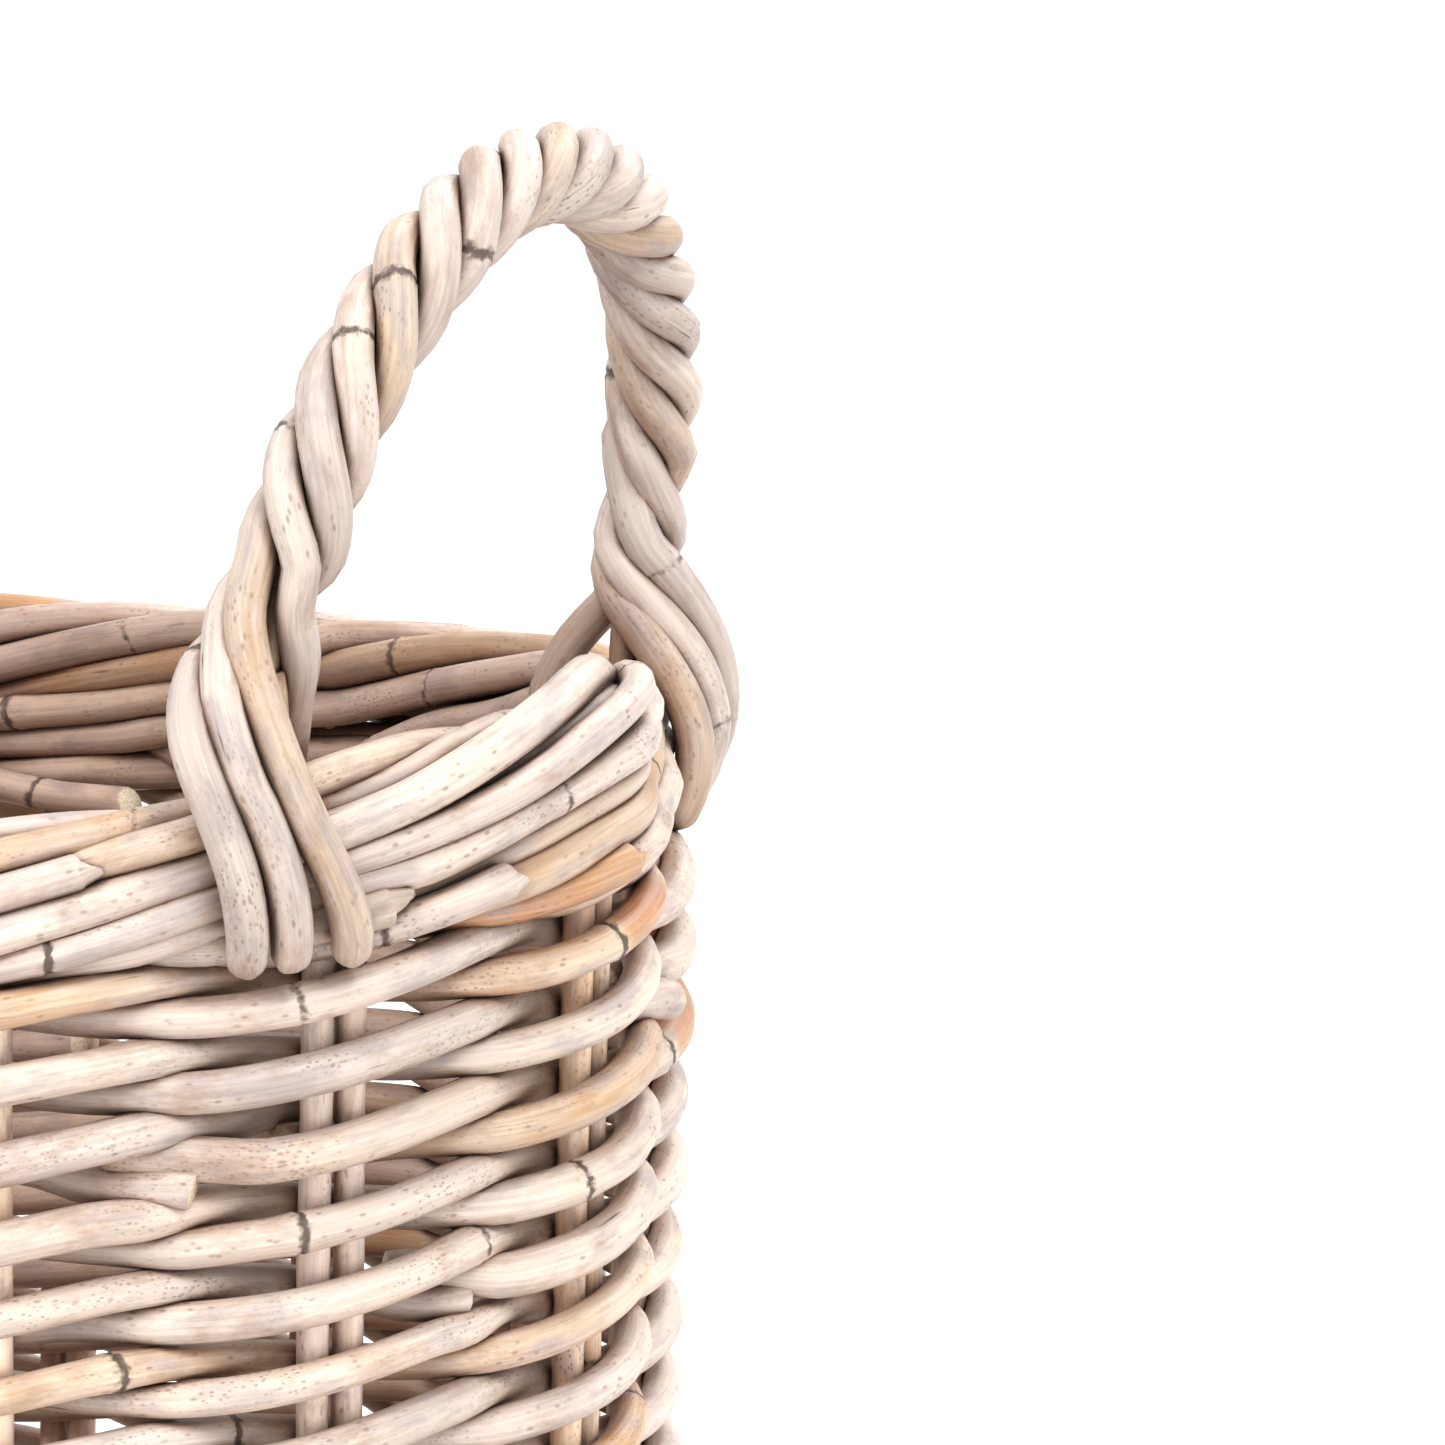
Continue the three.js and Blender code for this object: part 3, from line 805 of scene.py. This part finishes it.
def slot_outline(share, height, radius, strand):
    """[out, up] on a slot with round ends; share 0 is outside at mid height, rising."""
    straight = np.maximum(height / 2 - strand - radius, 0)
    length = 4 * straight + 2 * pi * radius
    place = (share - np.floor(share)) * length
    top = straight + pi * radius
    inside = top + 2 * straight
    bottom = inside + pi * radius
    rising = (place - straight) / radius
    falling = pi + (place - inside) / radius
    zones = [place < straight, place < top, place < inside, place < bottom]
    flat = radius + 0 * place
    out = np.select(zones, [flat, radius * np.cos(rising), -flat, radius * np.cos(falling)], flat)
    over = straight + radius * np.sin(rising)
    under = -straight + radius * np.sin(falling)
    return out, np.select(zones, [place, over, straight - (place - top), under], place - length)


def border_line(start, first_share, last_share, roll, squeeze, rng):
    """A stake's end laid over to the right: up outside the border, over it and down inside."""
    length = roll * (last_share - first_share) * SPACING
    shares = np.linspace(first_share, last_share, int(length / BORDER_STEP))
    pairs = start + (shares - first_share) * roll
    angle = angle_at(pairs)
    tied = nearness_to_foot(pairs)
    height = border_height(angle)
    strand = BORDER_RADIUS + squeeze
    radius = BORDER_HALF_DEPTH - strand
    out, up = slot_outline(shares + wobble(rng, 0.25, 0.015)(pairs * SPACING), height, radius, strand)
    out = out * (1 - TIED_DEPTH * tied)
    up = up * (1 - TIED_HEIGHT * tied)
    middle = rim_height(angle) - height / 2 - TIED_DOWN * tied
    return smooth_line(wall_points(pairs, middle + up, out), 4)


def place_of(points):
    """For points near the wall, the place round the oval and the distance out from the stake line."""
    half_x, half_y = half_sizes(points[:, 2])
    angle = np.arctan2(points[:, 1] / half_y, points[:, 0] / half_x)
    line = stake_line_at(angle, points[:, 2])
    out = np.sum((points[:, :2] - line) * outward(angle), axis=1)
    return np.interp(angle % (2 * pi), ANGLES, LENGTHS) / SPACING, out


def drawn_in(line):
    """Before the far foot of a handle the border's outer canes turn in and down behind the plies."""
    pairs, out = place_of(line)
    past = pairs_past_end(pairs)
    turned = ramp(past, 0.0, 0.5) * (1 - ramp(past, 0.85, 1.3))
    crowned = ramp(past, -1.3, -0.8) * (1 - ramp(past, 1.35, 1.75))
    angle = angle_at(pairs)
    share_up = np.clip(1 + (line[:, 2] - rim_height(angle)) / border_height(angle), 0, 1)
    outer = np.clip((out + OUTER_CANES) / (2 * OUTER_CANES), 0, 1)
    shift = outward(angle) * (-DRAWN_IN * turned * outer * (0.75 + 0.5 * share_up))[:, None]
    down = (PRESSED_DOWN * crowned + DRAWN_DOWN * turned) * share_up
    return line + np.concatenate([shift, -down[:, None]], axis=1)


def spliced(line, rng):
    """Two canes in place of one: the first ends outside, and the second starts from under it."""
    share = rng.uniform(0.22, 0.42)
    at = int(share * len(line))
    second = line[at - SPLICE_POINTS:].copy()
    under = np.clip(1 - np.arange(len(second)) / (2.0 * SPLICE_POINTS), 0, 1)
    pairs, _ = place_of(second)
    second[:, :2] -= outward(angle_at(pairs)) * (SPLICE_DEPTH * under)[:, None]
    return [line[:at], second]


def tuck_ends(line):
    """Turn both ends of a cane in under its neighbours."""
    places = along_line(line)
    from_end = np.minimum(places, places[-1] - places)
    near = np.clip(1 - from_end / TUCK_LENGTH, 0, 1) ** 2
    middle = line[len(line) // 2]
    inward = -outward(np.arctan2(middle[1] / HALF_WIDTH, middle[0] / HALF_LENGTH))
    return line + (near * TUCK_DEPTH)[:, None] * np.append(inward, 0.0)


def make_border():
    pieces = [Canes(300 + i) for i in range(len(BORDER_NODES))]
    rng = np.random.default_rng(BORDER_SEED)
    planned = []
    strands = int(round(PAIRS / ROLL_PAIRS * LANES))
    for i in range(strands):
        first = FIRST_SHARE + rng.uniform(-0.03, 0.03)
        last = rng.uniform(*LAST_SHARES)
        start = (i + rng.uniform(-0.18, 0.18)) * PAIRS / strands + (first - FIRST_SHARE) * ROLL_PAIRS
        roll = ROLL_PAIRS * rng.uniform(0.88, 1.12)
        line = border_line(start, first, last, roll, rng.uniform(-0.5, 0.7) * MM, rng)
        planned.append((line, BORDER_RADIUS * rng.uniform(0.9, 1.12), i % len(pieces)))
    # Between the feet of each handle the border is taller, and short canes fill it out.
    for end in range(2):
        for lane in range(FILLERS):
            begin = end * PAIRS / 2 - FILLER_REACH + rng.uniform(-0.06, 0.06)
            reach = 2 * FILLER_REACH + rng.uniform(-0.06, 0.06)
            share = FIRST_SHARE + (lane + 0.5) / FILLERS
            last = share + reach / ROLL_PAIRS
            line = border_line(begin, share, last, ROLL_PAIRS, 1.2 * MM, rng)
            home = (lane + 3 * end) % len(pieces)
            planned.append((line, FILLER_RADIUS * rng.uniform(0.9, 1.12), home))
    lines, radii, homes = zip(*planned)
    tops = [ROW_NODES[-1]] + PACKING_NODES
    fixed = [(line, radius) for line, radius, node in ROW_LINES if node in tops]
    fixed += [(line, PLY_RADIUS) for plies in HANDLE_LINES for line in plies]
    snug = [SNUG * radius for radius in radii]
    lines = settle(lines, snug, *zip(*fixed), SETTLE_ROUNDS)
    for i, (line, radius, home) in enumerate(zip(lines, radii, homes)):
        rng = pieces[home].rng
        if i >= strands:
            line = tuck_ends(line)
        line = drawn_in(line)
        canes = spliced(line, rng) if i < strands and rng.random() < SPLICE_CHANCE else [line]
        for cane in canes:
            cane_radius = radius * rng.uniform(0.95, 1.02)
            tone = pick_tone(rng)
            if i == GOLDEN_STRAND:
                tone = GOLDEN
            slants = (rng.uniform(0.1, 0.6), rng.uniform(0.4, 1.0))
            pieces[home].add(cane, cane_radius, tone, scar_gap=0.19, taper=0.06, slants=slants,
                             tips=BORDER_TIPS, flush_chance=0.03)
    # Stake ends that run on inside the border, seen only through the chinks.
    around = np.linspace(0, PAIRS, 400)
    angle = angle_at(around)
    for i, share in enumerate(CORE_SHARES):
        line = drawn_in(wall_points(around, rim_height(angle) - share * border_height(angle), 0.0))
        pieces[i].add(line, CORE_RADIUS, CORE_COLOR, scar_gap=0.3)
    # The spare end of one stake lies inside the far wall, just under the border.
    along = np.linspace(*SPARE_END, 60)
    sink = ramp(along, SPARE_END[0] + 1.6, SPARE_END[0] + 0.2)
    z = rim_height(angle_at(along)) - SPARE_DOWN[0] - SPARE_DOWN[1] * sink
    line = wall_points(along, z, -SPARE_IN[0] - SPARE_IN[1] * sink)
    pieces[2].add(line, CORE_RADIUS, SPARE_COLOR, slants=(0.3, 0.2), flush_chance=0.0)
    for canes, node in zip(pieces, BORDER_NODES):
        canes.finish(node + "_canes", BORDER_CANE, "border_rattan", node)


# ---- handles ----

HANDLE_FOOT_Z = 341 * MM
HANDLE_RISE = 99 * MM
HANDLE_LEAN = 20 * MM
ROPE_RADIUS = 7.3 * MM
ROPE_TURNS = 4.25  # over the whole half ellipse of the bow
ROPE_BEND = radians(78)  # the plies are a tight rope this far either side of the top, and open below
PLY_RADIUS = 4.95 * MM
PLY_TIPS = (5 * MM, 5 * MM)
BENDS = np.linspace(-ROPE_BEND, ROPE_BEND, 56)
HANDLE_SEED = 40
# The last of the four is barely washed.
PLY_TONES = [(0.25, 0.6, 0.5), (0.15, 0.75, 0.4), (0.3, 0.65, 0.9), (0.57, 0.36, 0.2)]
HALF_TURNS = np.array([[1, 1, 1], [-1, -1, 1]])  # from the handle at +X to each of the two

# The plies below the rope, one list each, in mm: along the wall from the foot, out from the stake
# line, height. At both feet one ply goes inside the border, and three lie side by side outside it.
NEAR_FOOT = [
    [(3, 8, 351), (6.5, 4, 340), (9, -4, 329), (12, -12, 318), (13.5, -17.5, 305), (13.5, -18, 290),
     (13.5, -16, 279)],
    [(6, -6.5, 352), (-3, -10, 344), (-13, -6, 338), (-20, 4, 332), (-23, 13, 325), (-22, 18.5, 317),
     (-18.5, 20, 307), (-13.6, 20, 292), (-11.3, 18.8, 278), (-10.6, 15, 269.5)],
    [(-7.5, -4.5, 352), (-12, 3, 342), (-15, 11, 332), (-14.5, 16.5, 323), (-12.3, 19.5, 314),
     (-8.5, 20, 306), (-3.5, 20, 291), (-1.2, 18.8, 278), (-0.7, 15, 270)],
    [(-8.2, 6, 351), (-7.8, 11, 338), (-5.4, 16, 325), (-2.4, 19.3, 314), (1.2, 20.2, 305),
     (8.2, 20.2, 290), (12.6, 18.8, 278), (13.6, 14.5, 270)],
]
FAR_FOOT = [
    [(-1.6, 7.6, 342), (6.5, 4, 332), (9, -5, 322), (12.5, -13, 312), (16, -17.5, 300),
     (17.5, -18, 288), (17.5, -16, 279)],
    [(-7.5, -1.4, 342), (-6.3, 6.5, 332), (-2, 14, 322), (3.2, 20, 311.5), (7, 23.6, 300),
     (8.5, 23, 289), (8.6, 17.5, 279), (8.3, 10.5, 271.5)],
    [(1.6, -5.8, 342), (-5, -4.6, 333), (-7.2, 2.5, 324), (-5.6, 10.6, 314.5), (-2.6, 16.8, 304),
     (-0.8, 19.6, 292.5), (-0.3, 17, 281), (-0.3, 10, 271.5)],
    [(7.4, 1.8, 342), (6, -5, 334), (-3, -5.5, 326.5), (-9, -0.8, 319), (-10.6, 5.3, 310),
     (-10.2, 11.2, 299.5), (-9.6, 14.0, 288), (-9.2, 12, 276.5), (-9, 8, 270)],
]
# The bow inside the rope, and the thin cane beside it, go straight down into the border.
CORE_FOOT = [(0, 0, 338), (0, -1.5, 328), (0, -3, 316), (0, -3, 302)]
LINER_FOOT = [(0.5, 2, 336), (1, 2.5, 327), (1, 3, 315), (1, 3, 302)]
CORE_CANE_RADIUS = 3.2 * MM
CORE_TONE = (0.6, 0.1, 0.1)


def arch_point(bend):
    foot = wall_points(FOOT_PAIRS, HANDLE_FOOT_Z, 0.0)
    return np.array([
        foot[0] + HANDLE_LEAN * cos(bend),
        HANDLE_HALF_SPAN * sin(bend),
        HANDLE_FOOT_Z + HANDLE_RISE * cos(bend),
    ])


def rope_point(bend, distance, turn):
    tangent = unit(arch_point(bend + 1e-3) - arch_point(bend - 1e-3))
    normal = outward(FOOT_ANGLE)
    swing = atan2(normal[1], normal[0]) * sin(bend)
    out = np.array([cos(swing), sin(swing), 0.0])
    out = unit(out - out.dot(tangent) * tangent)
    across = np.cross(tangent, out)
    return arch_point(bend) + distance * (cos(turn) * out + sin(turn) * across)


def through(points, per_piece=10):
    """A smooth line through all the points."""
    points = np.asarray(points, float)
    ends = np.concatenate([[2 * points[0] - points[1]], points, [2 * points[-1] - points[-2]]])
    t = np.linspace(0, 1, per_piece, endpoint=False)[:, None]
    pieces = []
    for a, b, c, d in zip(ends[:-3], ends[1:-2], ends[2:-1], ends[3:]):
        pieces.append(0.5 * (2 * b + (c - a) * t + (2 * a - 5 * b + 4 * c - d) * t ** 2
                             + (3 * b - a - 3 * c + d) * t ** 3))
    return np.concatenate(pieces + [points[-1:]])


def leg_points(side, route):
    along, out, z = np.array(route).T * MM
    return wall_points(side * FOOT_PAIRS + along / SPACING, z, out)


def over_bow(near, arch, far):
    """A smooth line from the foot on the -Y side over the bow to the other foot."""
    near = leg_points(-1, near)
    return smooth_line(through(np.concatenate([near[::-1], arch, leg_points(1, far)])), 6)


def ply_line(ply, rng):
    uneven = wobble(rng, 1.1, 0.13)
    loose = wobble(rng, 0.9, 0.35 * MM)
    fade = np.clip((ROPE_BEND - np.abs(BENDS)) / 0.3, 0, 1)
    turns = ply * pi / 2 - ROPE_TURNS * 2 * (BENDS + ROPE_BEND) + uneven(BENDS) * fade
    distances = ROPE_RADIUS - 0.4 * MM * np.sin(BENDS) + loose(BENDS) * fade
    distances += 0.9 * MM * np.cos(turns) * np.cos(BENDS)
    arch = [rope_point(bend, distance, turn) for bend, distance, turn in zip(BENDS, distances, turns)]
    return over_bow(NEAR_FOOT[ply], arch, FAR_FOOT[ply])


def handle_lines(end):
    """The four plies of the handle at +X, or turned half round for the one at -X."""
    rngs = [np.random.default_rng(HANDLE_SEED + 10 * end + ply) for ply in range(4)]
    return [ply_line(ply, rng) * HALF_TURNS[end] for ply, rng in enumerate(rngs)]


def make_handles():
    for end, side in enumerate(("right", "left")):
        nodes = nodes_starting("handle_ply_" + side)
        for ply, line in enumerate(HANDLE_LINES[end]):
            node = nodes[(ply + 1) % 4]
            canes = Canes(400 + 10 * end + ply)
            radius = PLY_RADIUS * canes.rng.uniform(0.96, 1.04)
            canes.add(line, radius, PLY_TONES[ply], scar_gap=0.19, tips=PLY_TIPS, flush_chance=0.0)
            canes.finish(node + "_cane", HANDLE_CANE, "handle_rattan", node)
        canes = Canes(450 + end)
        bow = over_bow(CORE_FOOT, [rope_point(bend, 0, 0) for bend in BENDS], CORE_FOOT)
        liners = [through(leg_points(foot, LINER_FOOT)) for foot in (-1, 1)]
        for line in [bow] + liners:
            canes.add(line * HALF_TURNS[end], CORE_CANE_RADIUS, CORE_TONE, scar_gap=0.3)
        node = "handle_core_" + side
        canes.finish(node + "_cane", HANDLE_CANE, "handle_rattan", node)


# ---- foot and base ----

FOOT_LANES = 6
FOOT_ROLL_PAIRS = 3.0
FOOT_STRAND = 3.8 * MM
FOOT_ROLL = 6.2 * MM
FOOT_CLEARANCE = 0.35 * MM


def make_foot():
    canes = Canes(500)
    rng = canes.rng
    strands = int(round(PAIRS / FOOT_ROLL_PAIRS * FOOT_LANES))
    for i in range(strands):
        shares = np.linspace(0.2, 1.12, 90)
        pairs = i * PAIRS / strands + (shares - 0.2) * FOOT_ROLL_PAIRS
        turn = 2 * pi * shares
        z = FOOT_STRAND + FOOT_CLEARANCE + FOOT_ROLL * (1 - np.sin(turn))
        line = wall_points(pairs, z, FOOT_ROLL * np.cos(turn))
        canes.add(line, FOOT_STRAND * rng.uniform(0.95, 1.03), pick_tone(rng), scar_gap=0.2)
    canes.finish("foot_border_canes", BASE_CANE, "base_rattan", "foot_border")


BASE_STICK = 3.8 * MM
BASE_WEAVER = 3.1 * MM
BASE_STICK_PITCH = 46 * MM
BASE_WEAVER_PITCH = 6.7 * MM


def make_base():
    canes = Canes(520)
    rng = canes.rng
    middle = node_middle("base_mat") - 1 * MM
    half_x, half_y, _ = node_box("base_mat")[1]
    sticks = int(half_x / BASE_STICK_PITCH)
    for i in range(-sticks, sticks + 1):
        x = i * BASE_STICK_PITCH
        reach = half_y * (1 - (x / half_x) ** 2) ** 0.5
        for side in (-1, 1):
            y = np.linspace(-reach, reach, 40)
            line = np.stack([x + side * (BASE_STICK + 0.1 * MM) + 0 * y, y, middle + 0 * y], -1)
            canes.add(line, BASE_STICK * rng.uniform(0.95, 1.03), pick_tone(rng), scar_gap=0.3)
    weavers = int(half_y / BASE_WEAVER_PITCH)
    for i in range(-weavers, weavers + 1):
        y = i * BASE_WEAVER_PITCH
        reach = half_x * (1 - (y / half_y) ** 2) ** 0.5 - 2 * MM
        if reach < BASE_STICK_PITCH:
            continue
        x = np.linspace(-reach, reach, int(reach / (4 * MM)))
        over = (BASE_STICK + BASE_WEAVER) * np.cos(pi * x / BASE_STICK_PITCH + pi * i)
        line = np.stack([x, y + wobble(rng, 0.2, 0.3 * MM)(x), middle + over], -1)
        canes.add(line, BASE_WEAVER * rng.uniform(0.95, 1.05), pick_tone(rng), scar_gap=0.25)
    canes.finish("base_mat_canes", BASE_CANE, "base_rattan", "base_mat")


# ---- everything put together ----

HANDLE_LINES = [handle_lines(0), handle_lines(1)]
ROW_LINES = row_lines()
make_stakes()
make_rows()
make_border()
make_handles()
make_foot()
make_base()

# ---- floor, light and camera ----

VIEW_AZIMUTH = radians(26.1)
VIEW_ELEVATION = radians(11.0)
VIEW_DISTANCE = 2.5
VIEW_LENS = 265.6
AIM_RIGHT = 0.0301
AIM_UP = 0.0491

BACK = Vector((
    sin(VIEW_AZIMUTH) * cos(VIEW_ELEVATION),
    -cos(VIEW_AZIMUTH) * cos(VIEW_ELEVATION),
    sin(VIEW_ELEVATION),
))
RIGHT = Vector((cos(VIEW_AZIMUTH), sin(VIEW_AZIMUTH), 0))
UP = BACK.cross(RIGHT)


def look_at(thing, place, target):
    thing.location = place
    thing.rotation_euler = (target - place).to_track_quat("-Z", "Y").to_euler()


def make_camera():
    camera = put_in_scene("camera", bpy.data.cameras.new("camera"))
    camera.data.lens = VIEW_LENS
    camera.data.sensor_width = 36
    camera.data.clip_end = 50
    end = Vector((HALF_LENGTH, 0, node_box("packing_row_right")[0][2] + 8.7 * MM))
    look_at(camera, end + BACK * VIEW_DISTANCE, end + RIGHT * AIM_RIGHT + UP * AIM_UP)
    bpy.context.scene.camera = camera


def make_light(name, direction, distance, size, power):
    light = put_in_scene(name, bpy.data.lights.new(name, "AREA"))
    light.data.size = size
    light.data.energy = power
    target = Vector((0, 0, 0.2))
    look_at(light, target + direction.normalized() * distance, target)


def make_studio():
    scene = bpy.context.scene
    floor_mesh = bpy.data.meshes.new("floor")
    half = 8.0
    corners = [(-half, -half, 0), (half, -half, 0), (half, half, 0), (-half, half, 0)]
    floor_mesh.from_pydata(corners, [], [(0, 1, 2, 3)])
    floor = put_in_scene("floor", floor_mesh)
    paper = bpy.data.materials.new("pale_paper")
    paper.use_nodes = True
    shader = paper.node_tree.nodes["Principled BSDF"]
    shader.inputs["Base Color"].default_value = (0.93, 0.925, 0.92, 1)
    shader.inputs["Roughness"].default_value = 0.9
    floor_mesh.materials.append(paper)
    world = bpy.data.worlds.new("studio")
    world.use_nodes = True
    sky = world.node_tree.nodes["Background"]
    sky.inputs["Color"].default_value = (1.0, 0.995, 0.99, 1)
    sky.inputs["Strength"].default_value = 0.9
    scene.world = world
    forward = Vector((BACK.x, BACK.y, 0))
    toward = forward * 0.7 - RIGHT * 0.3 + Vector((0, 0, 1.0))
    make_light("key", toward, distance=2.2, size=1.0, power=24)
    toward = -forward * 0.8 + RIGHT * 0.7 + Vector((0, 0, 1.1))
    make_light("rim", toward, distance=2.4, size=1.6, power=30)
    sun = put_in_scene("sun", bpy.data.lights.new("sun", "SUN"))
    sun.data.energy = 1.35
    sun.data.angle = radians(22)
    look_at(sun, forward * 0.7 + RIGHT * 0.45 + Vector((0, 0, 1.0)), Vector((0, 0, 0)))
    scene.view_settings.view_transform = "Standard"
    scene.view_settings.exposure = 0.0


make_camera()
make_studio()
